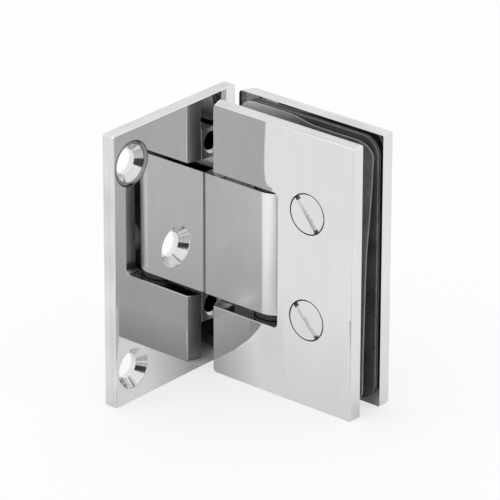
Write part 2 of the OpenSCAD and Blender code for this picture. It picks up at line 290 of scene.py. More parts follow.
chrome = chromeMaterial("polishedChrome")
# darker chrome on faces hidden inside and between parts: painted shade
insideShadeChrome = chromeMaterial("unpolishedInside", bright=cool(0.5), dull=cool(0.36), rough=(0.04, 0.09))
# darker chrome round the upper wall hole's rim: a painted dark reflection
rimReflectionChrome = chromeMaterial("dulledRim", bright=cool(0.36), dull=cool(0.24), rough=(0.08, 0.2))
sideChrome = chromeMaterial("satinSide", bright=cool(0.56), dull=cool(0.5), rough=(0.45, 0.5))
# satin chrome, darker as painted shade and a painted dark reflection, for the cover plate's near end and
# counterbore walls
arcShadeChrome = chromeMaterial("satinArc", bright=cool(0.44), dull=cool(0.4), rough=(0.45, 0.5))
roundChrome = chromeMaterial("satinRound", bright=cool(0.92), dull=cool(0.89), rough=(0.38, 0.42))
satinChrome = chromeMaterial("satinChrome", bright=(0.88, 0.885, 0.89), dull=(0.86, 0.865, 0.87),
                             rough=(0.16, 0.2), hazeScale=60.0)
# darker chrome for the block's seat groove, the cover plate's notch and the screw slots' ends: painted shade
creaseShadeChrome = chromeMaterial("dulledGroove", bright=cool(0.46), dull=cool(0.36), rough=(0.28, 0.38))
wallEdge = streakMaterial("wallPlateEdge", (900, 35, 900))
wallSide = streakMaterial("wallPlateSide", (600, 600, 18))
clampEdge = streakMaterial("clampPlateEdge", (35, 900, 900))
turnedCone = streakMaterial("turnedCountersink", (4000, 60, 60),
                            bright=(0.84, 0.845, 0.855), dull=(0.62, 0.625, 0.635))
milledSlot = streakMaterial("milledSlot", (1500, 1500, 1500), bright=cool(0.97), dull=cool(0.7))
steel = steelMaterial("turnedSteel", steelLook)
rubber = mouldedMaterial("gasketRubber", (0.06, 0.06, 0.061), (0.11, 0.11, 0.11), rough=(0.22, 0.38))
# lighter rubber for the gaskets' thin side faces: a painted highlight along the edges
rubberEdgeHighlight = mouldedMaterial("gasketEdge", (0.12, 0.12, 0.122), (0.2, 0.2, 0.2))
sheenRubber = chalkedRubber(sheenLook)
nylon = mouldedMaterial("naturalNylon", (0.82, 0.81, 0.77), (0.72, 0.71, 0.66), grainHeight=0.00001)
blackNylon = mouldedMaterial("blackNylon", (0.02, 0.02, 0.02), (0.035, 0.035, 0.035),
                             rough=(0.3, 0.45), grainHeight=0.00001)
slotLooks = {"chrome": chrome, "steel": steel, "rubber": rubber, "nylon": nylon, "black_nylon": blackNylon}
print("materials made")

slots = {part["node"]: part["material_slot"] for part in frame["record"]["subparts"]}
for node, slot in slots.items():
    mesh = nodes[node].data
    mesh.materials.clear()
    mesh.materials.append(slotLooks[slot])
print("CAD nodes dressed")


# shape helpers: a shape is a bmesh in millimetres, and flat faces carry a mark for the shading
def newShape():
    shape = bmesh.new()
    shape.faces.layers.int.new("flat")
    return shape


def markFlat(shape, faces, value):
    layer = shape.faces.layers.int["flat"]
    for face in faces:
        face[layer] = value


def boxOf(node):
    low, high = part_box(node)
    return low / mm, high / mm


# four corners of a rectangle square to an axis, from its ranges along the other two
def rectangle(axis, place, first, second):
    corners = []
    for a, b in ((0, 0), (1, 0), (1, 1), (0, 1)):
        corner = [first[a], second[b]]
        corner.insert(axis, place)
        corners.append(corner)
    return corners


def prism(shape, corners, depth):
    base = shape.faces.new([shape.verts.new(corner) for corner in corners])
    grown = bmesh.ops.extrude_face_region(shape, geom=[base])["geom"]
    bmesh.ops.translate(shape, verts=[g for g in grown if isinstance(g, bmesh.types.BMVert)], vec=depth)
    bmesh.ops.recalc_face_normals(shape, faces=shape.faces)
    markFlat(shape, shape.faces, 1)


def onPlane(item, axis, value):
    return all(abs(vert.co[axis] - value) < hair for vert in item.verts)


def facesAt(shape, axis, value):
    return [face for face in shape.faces if onPlane(face, axis, value)]


def edgesAt(shape, *limits):
    return [edge for edge in shape.edges if all(onPlane(edge, axis, value) for axis, value in limits)]


# edges where a plane of one axis crosses a plane of another
def crossings(shape, axis, places, otherAxis, otherPlaces):
    return [edge for place in places for other in otherPlaces
            for edge in edgesAt(shape, (axis, place), (otherAxis, other))]


def withEdges(faces):
    edges = dict.fromkeys(edge for face in faces for edge in face.edges)
    verts = dict.fromkeys(vert for face in faces for vert in face.verts)
    return list(faces) + list(edges) + list(verts)


def roundEdges(shape, edges, radius, segments=3):
    made = bmesh.ops.bevel(shape, geom=list(edges), offset=radius, offset_type="OFFSET", segments=segments,
                           profile=0.5, affect="EDGES", material=-1, clamp_overlap=True, loop_slide=True)
    markFlat(shape, made["faces"], 0)


def sharpEdges(edges, crease):
    return [edge for edge in edges if len(edge.link_faces) == 2 and edge.calc_face_angle() > crease]


def sharpRim(shape, axis, value):
    return sharpEdges(edgesAt(shape, (axis, value)), crease=0.3)


def openPlane(shape, axis, value):
    bmesh.ops.delete(shape, geom=facesAt(shape, axis, value), context="FACES_ONLY")


def closePlane(shape, axis, value):
    rim = [edge for edge in edgesAt(shape, (axis, value)) if len(edge.link_faces) == 1]
    normal = [0, 0, 0]
    normal[axis] = 1
    made = bmesh.ops.triangle_fill(shape, edges=rim, use_beauty=True, normal=normal)["geom"]
    markFlat(shape, [g for g in made if isinstance(g, bmesh.types.BMFace)], 1)


# turns a profile of (radius, height) points round a line along the axis
def turn(shape, centre, axis, profile, steps=96):
    along = [Vector((1, 0, 0)), Vector((0, 1, 0)), Vector((0, 0, 1))][axis]
    out = [Vector((0, 0, 1)), Vector((0, 0, 1)), Vector((1, 0, 0))][axis]
    verts = []
    for radius, height in profile:
        spot = Vector(centre)
        spot[axis] = height
        verts.append(shape.verts.new(spot + out * radius))
    edges = [shape.edges.new(pair) for pair in zip(verts, verts[1:])]
    bmesh.ops.spin(shape, geom=verts + edges, cent=centre, axis=along, angle=math.tau, steps=steps,
                   use_merge=True, dvec=(0, 0, 0))


def arc(middle, radius, fromAngle, toAngle, steps):
    sweep = [math.radians(fromAngle + (toAngle - fromAngle) * i / steps) for i in range(steps + 1)]
    return [(middle[0] + radius * math.cos(a), middle[1] + radius * math.sin(a)) for a in sweep]


# flat faces shade flat, and the rounded edges between them blend into them
def shadePiece(mesh, smoothAngle=40):
    flags = [item.value for item in mesh.attributes["flat"].data]
    directions = [face.normal.copy() for face in mesh.polygons]
    around = [[] for vert in mesh.vertices]
    for face in mesh.polygons:
        for vert in face.vertices:
            around[vert].append(face.index)
    limit = math.cos(math.radians(smoothAngle))
    normals = []
    for face in mesh.polygons:
        own = directions[face.index]
        for vert in face.vertices:
            near = [i for i in around[vert] if directions[i].dot(own) > limit]
            near = [i for i in near if flags[i]] or near
            blend = own if flags[face.index] else sum((directions[i] for i in near), Vector()).normalized()
            normals.append(blend)
    mesh.shade_smooth()
    mesh.normals_split_custom_set(normals)


weld = 0.002    # points closer than this after a cut are one


def bakeCuts(piece, cutters, operation="DIFFERENCE"):
    for cutter in cutters:
        step = piece.modifiers.new("cut", "BOOLEAN")
        step.operation = operation
        step.solver = "EXACT"
        step.object = cutter
    depsgraph = bpy.context.evaluated_depsgraph_get()
    result = bpy.data.meshes.new_from_object(piece.evaluated_get(depsgraph))
    shape = bmesh.new()
    shape.from_mesh(result)
    bmesh.ops.remove_doubles(shape, verts=shape.verts, dist=weld * mm)
    shape.to_mesh(result)
    shape.free()
    piece.modifiers.clear()
    piece.data = result
    for cutter in cutters:
        bpy.data.objects.remove(cutter)


def toObject(shape, name):
    bmesh.ops.remove_doubles(shape, verts=shape.verts, dist=hair / 2)
    bmesh.ops.recalc_face_normals(shape, faces=shape.faces)
    bmesh.ops.scale(shape, verts=shape.verts, vec=(mm, mm, mm))
    mesh = bpy.data.meshes.new(name)
    shape.to_mesh(mesh)
    shape.free()
    piece = bpy.data.objects.new(name, mesh)
    bpy.context.scene.collection.objects.link(piece)
    return piece


def finishPiece(piece, looks, node):
    piece.data.materials.clear()
    for look in looks:
        piece.data.materials.append(look)
    shadePiece(piece.data)
    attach(piece, nodes[node]["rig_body"])
    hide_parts(node)
    print(piece.name, "built:", len(piece.data.polygons), "faces")


# a face keeps the first look where choose returns none
def dressFaces(piece, choose):
    for face in piece.data.polygons:
        look = choose(face)
        if look:
            face.material_index = piece.data.materials.find(look.name)


pinSpot = Vector(next(j for j in frame["joints"] if j["name"] == "door_swing")["pos_m"]) / mm
flat = 0.999    # a face's normal is along an axis from here on

# wall plate: rolled countersinks in the face, two screw seats in the back
wallPlateSet = {
    "edge": 0.3, "backEdge": 0.15, "corner": 0.6,
    "bore": 8.0, "countersink": 13.2, "rimRolls": (2.0, 0.5, 0.5), "nearInset": 7.9, "endInset": 11.0,
    "screwSpread": 30.0, "screwHead": 11.2, "screwShank": 6.2, "headLand": 0.2,
}


# the wall holes' (y, z) places: upper, lower, middle
def wallHoles(spec):
    low, high = boxOf("wall_plate")
    nearY, endZ = low.y + spec["nearInset"], high.z - spec["endInset"]
    return (nearY, endZ), (nearY, -endZ), (0, 0)


def makeWallPlate(spec):
    low, high = boxOf("wall_plate")
    shape = newShape()
    prism(shape, rectangle(0, low.x, (low.y, high.y), (low.z, high.z)), (high.x - low.x, 0, 0))
    roundEdges(shape, crossings(shape, 1, (low.y, high.y), 2, (low.z, high.z)), spec["corner"], 5)
    roundEdges(shape, sharpRim(shape, 0, high.x), spec["edge"])
    roundEdges(shape, sharpRim(shape, 0, low.x), spec["backEdge"], 2)
    for x in (high.x, low.x):
        openPlane(shape, 0, x)
    mouth = spec["countersink"] / 2
    bore = spec["bore"] / 2
    holes = wallHoles(spec)
    for spot, roll in zip(holes, spec["rimRolls"]):
        start = mouth + roll * math.tan(math.radians(22.5))
        rim = arc((start, high.x - roll), roll, 90, 135, 8)
        turn(shape, (0, *spot), 0, rim + [(bore, high.x - mouth + bore), (bore, low.x)], 128)
    head = spec["screwHead"] / 2
    shank = spec["screwShank"] / 2
    land = spec["headLand"]
    seat = [(head, low.x), (head, land), (shank, land + head - shank), (shank, high.x)]
    for side in (-1, 1):
        turn(shape, (0, pinSpot.y, side * spec["screwSpread"] / 2), 0, seat, 64)
    for x in (high.x, low.x):
        closePlane(shape, 0, x)
    piece = toObject(shape, "wallPlate")
    finishPiece(piece, [chrome, rimReflectionChrome, turnedCone, wallEdge, wallSide], "wall_plate")

    def choose(face):
        away = [(face.center / mm - Vector((high.x, *spot))).length for spot in holes]
        # the upper hole's rim takes the darker chrome, a painted dark reflection
        if away[0] < mouth + 1 and 0.72 < face.normal.x < flat:    # the upper hole's wide rim
            return rimReflectionChrome
        if min(away) < mouth + 2 and 0.69 < face.normal.x < 0.72:    # the cones, at 45 degrees
            return turnedCone
        if min(away) > mouth:
            return wallEdge if face.normal.z > flat else wallSide if abs(face.normal.y) > flat else None

    dressFaces(piece, choose)


makeWallPlate(wallPlateSet)


# knuckle block: round-ended block with its bore, detent chamber and screw holes
knuckleBlockSet = {
    "edge": 0.4, "seatEdge": 0.5, "roundSteps": 40, "bushSeat": 10.54, "bushDepth": 8.0, "bore": 9.0,
    "chamberWidth": 8.4, "chamberHeight": 18.8,
    "screwSpread": wallPlateSet["screwSpread"], "screwShank": wallPlateSet["screwShank"],
    "screwReach": 15.6, "drillPoint": 0.2,
}


def makeKnuckleBlock(spec):
    low, high = boxOf("knuckle_block")
    shape = newShape()
    groove = spec["seatEdge"]
    outline = ((low.x, low.y + groove), (low.x + groove, low.y), (high.x, low.y),
               (high.x, high.y), (low.x + groove, high.y), (low.x, high.y - groove))
    prism(shape, [(x, y, low.z) for x, y in outline], (0, 0, high.z - low.z))
    roundEdges(shape, crossings(shape, 1, (low.y, high.y), 0, (high.x,)), (high.y - low.y - hair) / 2,
               spec["roundSteps"])
    for z in (low.z, high.z):
        roundEdges(shape, [e for e in sharpRim(shape, 2, z) if not onPlane(e, 0, low.x)], spec["edge"])
    piece = toObject(shape, "knuckleBlock")
    bore = newShape()
    seat = spec["bushSeat"] / 2
    half = spec["bore"] / 2
    step = high.z - spec["bushDepth"]
    out = high.z + past
    turn(bore, (pinSpot.x, pinSpot.y, 0), 2,
         [(0, -out), (seat, -out), (seat, -step), (half, -step),
          (half, step), (seat, step), (seat, out), (0, out)], 64)
    chamber = newShape()
    width = spec["chamberWidth"] / 2
    height = spec["chamberHeight"] / 2
    prism(chamber, rectangle(0, low.x - past, (pinSpot.y - width, pinSpot.y + width), (-height, height)),
          (pinSpot.x - low.x + past, 0, 0))
    cutters = [toObject(bore, "boreCutter"), toObject(chamber, "chamberCutter")]
    shank = spec["screwShank"] / 2
    reach = spec["screwReach"]
    for side in (-1, 1):
        hole = newShape()
        turn(hole, (0, pinSpot.y, side * spec["screwSpread"] / 2), 0,
             [(0, low.x - past), (shank, low.x - past), (shank, reach - shank * spec["drillPoint"]),
              (0, reach)], 48)
        cutters.append(toObject(hole, "screwCutter"))
    bakeCuts(piece, cutters)
    finishPiece(piece, [chrome, satinChrome, insideShadeChrome, roundChrome, creaseShadeChrome], "knuckle_block")
    radius = (high.y - low.y) / 2

    def choose(face):
        spot = face.center / mm
        across = (spot.x - (high.x - radius), spot.y - pinSpot.y)
        if abs(face.normal.y) > flat and face.area > 5 * mm * mm:    # the two broad sides
            return satinChrome
        # the top and bottom faces lie between the lugs and take the darker chrome: painted shade
        if abs(face.normal.z) > flat:
            return insideShadeChrome
        # the seat groove against the wall plate takes the darker chrome: a painted shade line
        if spot.x < low.x + groove and -0.9 < face.normal.x < -0.1:
            return creaseShadeChrome
        if across[0] > 0 and math.hypot(*across) > seat + 1:    # the round end, not the bore
            return roundChrome

    dressFaces(piece, choose)


makeKnuckleBlock(knuckleBlockSet)

# clamp plates: both have the arc-shaped near edge and the notch round the block
clampPlateSet = {
    "edge": 0.3, "innerEdge": 0.12, "corner": 0.6, "nearCorner": 1.2,
    "notchHeight": 45.0, "notchEnd": 35.4, "notchCorner": 1.8, "mouthCorner": 0.25,
    "swing": 20.0, "arcSteps": 5,
    "screwAcross": 46.994, "screwHeights": (19.0, -16.2),
}
screwSpots = [(clampPlateSet["screwAcross"], 0, z) for z in clampPlateSet["screwHeights"]]


# cuts a flat side near the pin into strips and bends it to an arc round the pin
def bendSide(shape, side, radius, start, end, steps, through=False):
    for i in range(1, steps):
        faces = list(shape.faces) if through else facesAt(shape, 0, side)
        cut = start + (end - start) * i / steps
        bmesh.ops.bisect_plane(shape, geom=withEdges(faces), plane_co=(0, cut, 0), plane_no=(0, 1, 0))
    markFlat(shape, facesAt(shape, 0, side), 0)
    bent = [vert for vert in shape.verts if abs(vert.co.x - side) < hair]
    for vert in bent:
        vert.co.x = pinSpot.x - math.sqrt(radius ** 2 - (vert.co.y - pinSpot.y) ** 2)
    return set(bent)


def makeClampPlate(spec, low, high, outer, inner):
    shape = newShape()
    near = pinSpot.x - math.sqrt(spec["swing"] ** 2 - (inner - pinSpot.y) ** 2)
    notch = spec["notchHeight"] / 2
    end = spec["notchEnd"]
    outline = ((near, high.z), (high.x, high.z), (high.x, low.z), (near, low.z),
               (near, -notch), (end, -notch), (end, notch), (near, notch))
    prism(shape, [(x, inner, z) for x, z in outline], (0, outer - inner, 0))
    bent = bendSide(shape, near, spec["swing"], inner, outer, spec["arcSteps"])
    roundEdges(shape, crossings(shape, 2, (low.z, high.z), 0, (high.x,)), spec["corner"], 5)
    roundEdges(shape, crossings(shape, 2, (-notch, notch), 0, (end,)), spec["notchCorner"], 10)
    for height, radius in ((high.z, spec["nearCorner"]), (notch, spec["mouthCorner"])):
        corner = [e for z in (-height, height) for e in edgesAt(shape, (2, z))
                  if all(v in bent for v in e.verts)]
        roundEdges(shape, corner, radius, 4)
    roundEdges(shape, sharpRim(shape, 1, outer), spec["edge"])
    roundEdges(shape, sharpRim(shape, 1, inner), spec["innerEdge"], 2)
    return shape


# the near ends are satin, the notch's inside faces are darker as painted shade, and the top edge shows
# streaks
def clampPlateLook(face, endLook, notchShadeLook):
    if face.normal.x < -0.75:
        return endLook if face.center.x < pinSpot.x * mm else notchShadeLook
    return clampEdge if face.normal.z > flat else None


# cover plate: front half of the clamp with two counterbores for the screw heads
coverPlateSet = {"headSeat": 13.4, "seatDepth": 3.0, "shankHole": 6.6, "seatEdge": 0.2}


def makeCoverPlate(spec):
    low, high = boxOf("cover_plate")
    shape = makeClampPlate(clampPlateSet, low, high, low.y, high.y)
    seat = spec["headSeat"] / 2
    soft = spec["seatEdge"]
    floor = low.y + spec["seatDepth"]
    shank = spec["shankHole"] / 2
    rim = arc((seat + soft, low.y + soft), soft, 270, 180, 4)
    for y in (low.y, high.y):
        openPlane(shape, 1, y)
    for spot in screwSpots:
        turn(shape, spot, 1, rim + [(seat, floor), (shank, floor), (shank, high.y)], 96)
    for y in (low.y, high.y):
        closePlane(shape, 1, y)
    piece = toObject(shape, "coverPlate")
    finishPiece(piece, [chrome, arcShadeChrome, creaseShadeChrome, clampEdge], "cover_plate")

    def choose(face):
        spot = face.center / mm
        if low.y < spot.y < high.y:
            away = min(math.hypot(spot.x - x, spot.z - z) for x, y, z in screwSpots)
            # the counterbore walls and near end take the darker satin chrome: painted shade
            return arcShadeChrome if away < seat + 0.05 else clampPlateLook(face, arcShadeChrome, creaseShadeChrome)

    dressFaces(piece, choose)


makeCoverPlate(coverPlateSet)

# clamp body: rear plate with the two lugs that hold the pin and the threaded collars
clampBodySet = {
    "plate": 4.5, "lugHeight": 10.0, "lugFront": 16.2, "lugReach": 35.5, "lugSwing": 19.8, "lugSteps": 24,
    "lugEdge": 0.3, "lugEnd": 1.2, "pinBore": 8.04, "grubBore": 6.0, "grubMouth": 7.6,
    "collar": 9.5, "collarFront": 18.4, "collarEdge": 0.3, "thread": 6.0, "threadEnd": 28.6,
}


def makeClampBody(spec):
    low, high = boxOf("clamp_body")
    inner = high.y - spec["plate"]
    deep = high.y - spec["plate"] / 2
    piece = toObject(makeClampPlate(clampPlateSet, low, high, high.y, inner), "clampBody")
    notch = clampPlateSet["notchHeight"] / 2
    front = spec["lugFront"]
    left = pinSpot.x - spec["lugSwing"]
    added = []
    for bottom in (-notch - spec["lugHeight"], notch):
        lug = newShape()
        prism(lug, rectangle(2, bottom, (left, spec["lugReach"]), (front, deep)), (0, 0, spec["lugHeight"]))
        bendSide(lug, left, spec["lugSwing"], front, deep, spec["lugSteps"], through=True)
        roundEdges(lug, sharpRim(lug, 1, front), spec["lugEdge"])
        added.append(toObject(lug, "lugForm"))
    collar = spec["collar"] / 2
    collarFront = spec["collarFront"]
    soft = spec["collarEdge"]
    for spot in screwSpots:
        tube = newShape()
        turn(tube, spot, 1, [(0, collarFront), (collar - soft, collarFront), (collar, collarFront + soft),
                             (collar, deep), (0, deep)], 64)
        added.append(toObject(tube, "collarForm"))
    bakeCuts(piece, added, "UNION")
    bore = spec["pinBore"] / 2
    out = notch + spec["lugHeight"] + past
    hole = newShape()
    turn(hole, (pinSpot.x, pinSpot.y, 0), 2, [(0, -out), (bore, -out), (bore, out), (0, out)], 64)
    cutters = [toObject(hole, "pinCutter")]
    grub = spec["grubBore"] / 2
    mouth = spec["grubMouth"] / 2
    for side in (-1, 1):
        hole = newShape()
        turn(hole, (0, pinSpot.y, side * (notch + spec["lugHeight"] / 2)), 0,
             [(0, left - past), (mouth, left - past), (mouth, left), (grub, left + mouth - grub),
              (grub, pinSpot.x), (0, pinSpot.x)], 48)
        cutters.append(toObject(hole, "grubCutter"))
    thread = spec["thread"] / 2
    start, end = front - 2 * past, spec["threadEnd"]
    for spot in screwSpots:
        hole = newShape()
        turn(hole, spot, 1, [(0, start), (thread, start), (thread, end), (0, end)], 48)
        cutters.append(toObject(hole, "threadCutter"))
    bakeCuts(piece, cutters)
    finishPiece(piece, [chrome, sideChrome, insideShadeChrome, clampEdge, roundChrome], "clamp_body")

    def choose(face):
        spot = face.center / mm
        atEnd = spot.x < left + spec["lugEnd"]
        # lugs, collars and the inner face take the darker chrome as painted shade, apart from the lug ends
        if spot.y < inner + 0.02:    # lugs, collars and the inner face
            if atEnd and abs(face.normal.x + math.sqrt(0.5)) < 0.02:    # cones at the grub screws' mouths
                return roundChrome
            return sideChrome if atEnd and face.normal.x < -0.8 else insideShadeChrome
        return clampPlateLook(face, sideChrome, insideShadeChrome) if spot.y < high.y else None

    dressFaces(piece, choose)


makeClampBody(clampBodySet)

# clamp screws: flat turned heads with one wide slot, left at the angle of the last turn
clampScrewSet = {
    "head": 12.8, "headHeight": 3.0, "headEdge": 0.25, "shank": 5.96, "tipBevel": 0.6,
    "slotWidth": 1.9, "slotDepth": 1.6, "slotAngles": (-52.0, -47.0), "slotEnd": 1.1,
}


def makeClampScrew(spec, name, node, centre, slotAngle):
    low, high = boxOf(node)
    head = spec["head"] / 2
    soft = spec["headEdge"]
    shank = spec["shank"] / 2
    tip = spec["tipBevel"]
    under = low.y + spec["headHeight"]
    shape = newShape()
    turn(shape, centre, 1,
         [(0, low.y)] + arc((head - soft, low.y + soft), soft, -90, 0, 4)
         + [(head, under), (shank, under), (shank, high.y - tip), (shank - tip, high.y), (0, high.y)], 96)
    markFlat(shape, facesAt(shape, 1, low.y), 1)
    slot = newShape()
    half = spec["slotWidth"] / 2
    length = head + past
    prism(slot, rectangle(1, low.y - past, (-length, length), (-half, half)),
          (0, past + spec["slotDepth"], 0))
    bmesh.ops.rotate(slot, verts=slot.verts, cent=(0, 0, 0),
                     matrix=Matrix.Rotation(math.radians(-slotAngle), 3, (0, 1, 0)))
    bmesh.ops.translate(slot, verts=slot.verts, vec=centre)
    piece = toObject(shape, name)
    bakeCuts(piece, [toObject(slot, "slotCutter")])
    angle = math.radians(slotAngle)
    along = Vector((math.cos(angle), 0, math.sin(angle)))
    slotEnd = head - spec["slotEnd"]
    give = 0.01

    # whether a place is in the slot, and how far it is from the screw's middle
    def inSlot(spot):
        offset = spot / mm - Vector(centre)
        depth = offset.y - low.y
        aside = abs(offset.cross(along).y)
        return aside < half + give and give / 2 < depth < spec["slotDepth"] + give, abs(offset.dot(along))

    # the slot's walls are cut near its ends, which take darker chrome as painted shade
    split = bmesh.new()
    split.from_mesh(piece.data)
    for way in (-1, 1):
        walls = [face for face in split.faces if inSlot(face.calc_center_median())[0]]
        spot = (Vector(centre) + along * way * slotEnd) * mm
        bmesh.ops.bisect_plane(split, geom=withEdges(walls), plane_co=spot, plane_no=along)
    split.to_mesh(piece.data)
    split.free()
    finishPiece(piece, [chrome, milledSlot, creaseShadeChrome], node)

    def choose(face):
        within, distance = inSlot(face.center)
        return (creaseShadeChrome if distance > slotEnd else milledSlot) if within else None

    dressFaces(piece, choose)


screwNames = (("clampScrewUpper", "clamp_screw_upper"), ("clampScrewLower", "clamp_screw_lower"))
for (name, node), spot, angle in zip(screwNames, screwSpots, clampScrewSet["slotAngles"]):
    makeClampScrew(clampScrewSet, name, node, spot, angle)

# gaskets: thin rubber sheets; the front one is loose at its rim and bows towards the glass gap
gasketSet = {
    "corner": 6.0, "cutEnd": 36.3, "cutHeight": 33.3, "cutCorner": 0.5, "edge": 0.15,
    "frontBore": 3.3, "rearBore": 4.95,
    "topLean": 4.6, "leanStart": 27.0,
    "flapLean": 7.4, "flapStart": 52.0, "flapWidth": 24.0, "flapFoot": 24.0, "flapRise": 12.0,
    "curlStart": 53.5,
    "curl": ((-45.0, 2.6), (-29.0, 2.7), (6.8, 3.6), (16.5, 4.8), (29.6, 6.0), (45.0, 6.6)),    # height, bow
    "joinPower": 4,    # how sharply the three bows join
    "bends": ((0, 26, 2, 19), (2, 22, 1.5, 14), (2, -40, 8, 8)),    # axis, first place, gap, count
}


def softStep(value):
    value = min(max(value, 0.0), 1.0)
    return value * value * (3 - 2 * value)


def bowOf(spec, spot, high):
    pairs = zip(spec["curl"], spec["curl"][1:])
    below, above = next(pair for pair in pairs if spot.z <= pair[1][0])
    curl = below[1] + (above[1] - below[1]) * (spot.z - below[0]) / (above[0] - below[0])
    right = curl * max(spot.x - spec["curlStart"], 0) / (high.x - spec["curlStart"])
    top = spec["topLean"] * softStep((spot.z - spec["leanStart"]) / (high.z - spec["leanStart"]))
    rise = softStep((spot.z - spec["flapFoot"]) / spec["flapRise"])
    flap = spec["flapLean"] * rise * softStep((spec["flapStart"] - spot.x) / spec["flapWidth"])
    power = spec["joinPower"]
    return (right ** power + top ** power + flap ** power) ** (1 / power)


def makeGasket(spec, name, node, bore, look, loose=False):
    low, high = boxOf(node)
    cut = spec["cutHeight"]
    end = spec["cutEnd"]
    shape = newShape()
    outline = ((low.x, high.z), (high.x, high.z), (high.x, low.z), (low.x, low.z),
               (low.x, -cut), (end, -cut), (end, cut), (low.x, cut))
    prism(shape, [(x, low.y, z) for x, z in outline], (0, high.y - low.y, 0))
    roundEdges(shape, crossings(shape, 0, (low.x, high.x), 2, (low.z, high.z)), spec["corner"], 12)
    roundEdges(shape, crossings(shape, 2, (-cut, cut), 0, (end,)), spec["cutCorner"], 3)
    for y in (low.y, high.y):
        roundEdges(shape, sharpRim(shape, 1, y), spec["edge"], 2)
        openPlane(shape, 1, y)
    for spot in screwSpots:
        turn(shape, spot, 1, [(bore, low.y), (bore, high.y)], 64)
    for y in (low.y, high.y):
        closePlane(shape, 1, y)
    if loose:
        for axis, first, gap, count in spec["bends"]:
            for i in range(count):
                point, heading = Vector(), Vector()
                point[axis], heading[axis] = first + gap * i, 1
                bmesh.ops.bisect_plane(shape, geom=withEdges(shape.faces), plane_co=point, plane_no=heading)
        for vert in shape.verts:
            vert.co.y += bowOf(spec, vert.co, high)
        markFlat(shape, shape.faces, 0)
    piece = toObject(shape, name)
    finishPiece(piece, [look, rubberEdgeHighlight], node)
    # the thin side faces take the lighter rubber, a painted highlight
    dressFaces(piece, lambda face: rubberEdgeHighlight if abs(face.normal.y) < 0.35 else None)


makeGasket(gasketSet, "frontGasket", "front_gasket", gasketSet["frontBore"], sheenRubber, loose=True)
makeGasket(gasketSet, "rearGasket", "rear_gasket", gasketSet["rearBore"], rubber)

# small turned pieces: copies of their nodes with soft edges of these widths
smallPieces = {
    "block_screw_upper": 0.25, "block_screw_lower": 0.25, "pivot_pin": 0.3,
    "bush_upper": 0.2, "bush_lower": 0.2, "thrust_washer_upper": 0.2, "thrust_washer_lower": 0.2,
    "detent_plunger": 0.25, "screw_sleeve_upper": 0.25, "screw_sleeve_lower": 0.25,
    "grub_screw_upper": 0.15, "grub_screw_lower": 0.15,
}


def makeSmallPiece(node, edge):
    shape = newShape()
    shape.from_mesh(nodes[node].data)
    bmesh.ops.scale(shape, verts=shape.verts, vec=(1 / mm, 1 / mm, 1 / mm))
    bmesh.ops.remove_doubles(shape, verts=shape.verts, dist=hair)
    bmesh.ops.dissolve_limit(shape, angle_limit=math.radians(1), verts=shape.verts, edges=shape.edges)
    markFlat(shape, [face for face in shape.faces if max(abs(c) for c in face.normal) > 0.9999], 1)
    roundEdges(shape, sharpEdges(shape.edges, crease=0.6), edge, 2)
    piece = toObject(shape, node.replace("_", " ").title().replace(" ", ""))
    finishPiece(piece, [slotLooks[slots[node]]], node)


for node, edge in smallPieces.items():
    makeSmallPiece(node, edge)


# stage: a wide pale floor, grey papers and cards that only the polished faces mirror, one lamp, an even world
def stagePlane(name, corners, material):
    shape = bmesh.new()
    shape.faces.new([shape.verts.new(Vector(corner) * mm) for corner in corners])
    mesh = bpy.data.meshes.new(name)
    shape.to_mesh(mesh)
    shape.free()
    mesh.materials.append(material)
    plane = bpy.data.objects.new(name, mesh)
    bpy.context.scene.collection.objects.link(plane)
    return plane


floorSet = {"size": 6000.0, "drop": 0.02, "colour": 0.92, "fleck": 0.985, "cameraWhite": 0.65}


def floorMaterial(spec):
    t = Tree("palePaper")
    fleck = t.noise(400.0, detail=3, rough=0.6)
    colour = spec["colour"]
    shade = t.mixColour(t.remap(fleck, 0.3, 0.7), (colour,) * 3, (colour * spec["fleck"],) * 3)
    paper = t.surface(Base_Color=shade, Roughness=0.9, Specular_IOR_Level=0.0)
    white = t.add("ShaderNodeEmission")
    seen = t.remap(t.add("ShaderNodeLightPath").outputs["Is Camera Ray"], 0, 1, 0, spec["cameraWhite"])
    mix = t.add("ShaderNodeMixShader")
    t.link(seen, mix.inputs["Fac"])
    t.link(paper.outputs["BSDF"], mix.inputs[1])
    t.link(white.outputs["Emission"], mix.inputs[2])
    t.link(mix.outputs["Shader"], t.output.inputs["Surface"])
    return t.material


# the tone of a paper: one value, or two that fade from start along heading
def greyMaterial(name, tones, start=(0, 0, 0), heading=(0, 0, 1), fade=1.0, oneSided=False):
    t = Tree(name)
    glow = t.add("ShaderNodeEmission")
    if isinstance(tones, float):
        glow.inputs["Strength"].default_value = tones
    else:
        place = t.add("ShaderNodeVectorMath", operation="SUBTRACT")
        t.link(t.coords, place.inputs[0])
        place.inputs[1].default_value = Vector(start) * mm
        along = t.add("ShaderNodeVectorMath", operation="DOT_PRODUCT")
        t.link(place.outputs["Vector"], along.inputs[0])
        along.inputs[1].default_value = heading
        t.link(t.remap(along.outputs["Value"], 0, fade * mm, *tones), glow.inputs["Strength"])
    shader = glow.outputs["Emission"]
    if oneSided:
        mix = t.add("ShaderNodeMixShader")
        t.link(t.add("ShaderNodeNewGeometry").outputs["Backfacing"], mix.inputs["Fac"])
        t.link(shader, mix.inputs[1])
        t.link(t.add("ShaderNodeBsdfTransparent").outputs["BSDF"], mix.inputs[2])
        shader = mix.outputs["Shader"]
    t.link(shader, t.output.inputs["Surface"])
    return t.material


def greyPaper(name, corners, material):
    paper = stagePlane(name, corners, material)
    paper.visible_camera = False
    paper.visible_diffuse = False
    paper.visible_shadow = False


# papers flat on the floor; their tones fade from start along heading, and lift keeps them apart
runnerSet = {
    "near": (59.2, 3.2), "far": (18.7, -44.8), "heading": (0.647, -0.763), "length": 500.0,
    "tone": (0.5, 0.62), "fade": 60.0, "lift": 0.01,
}
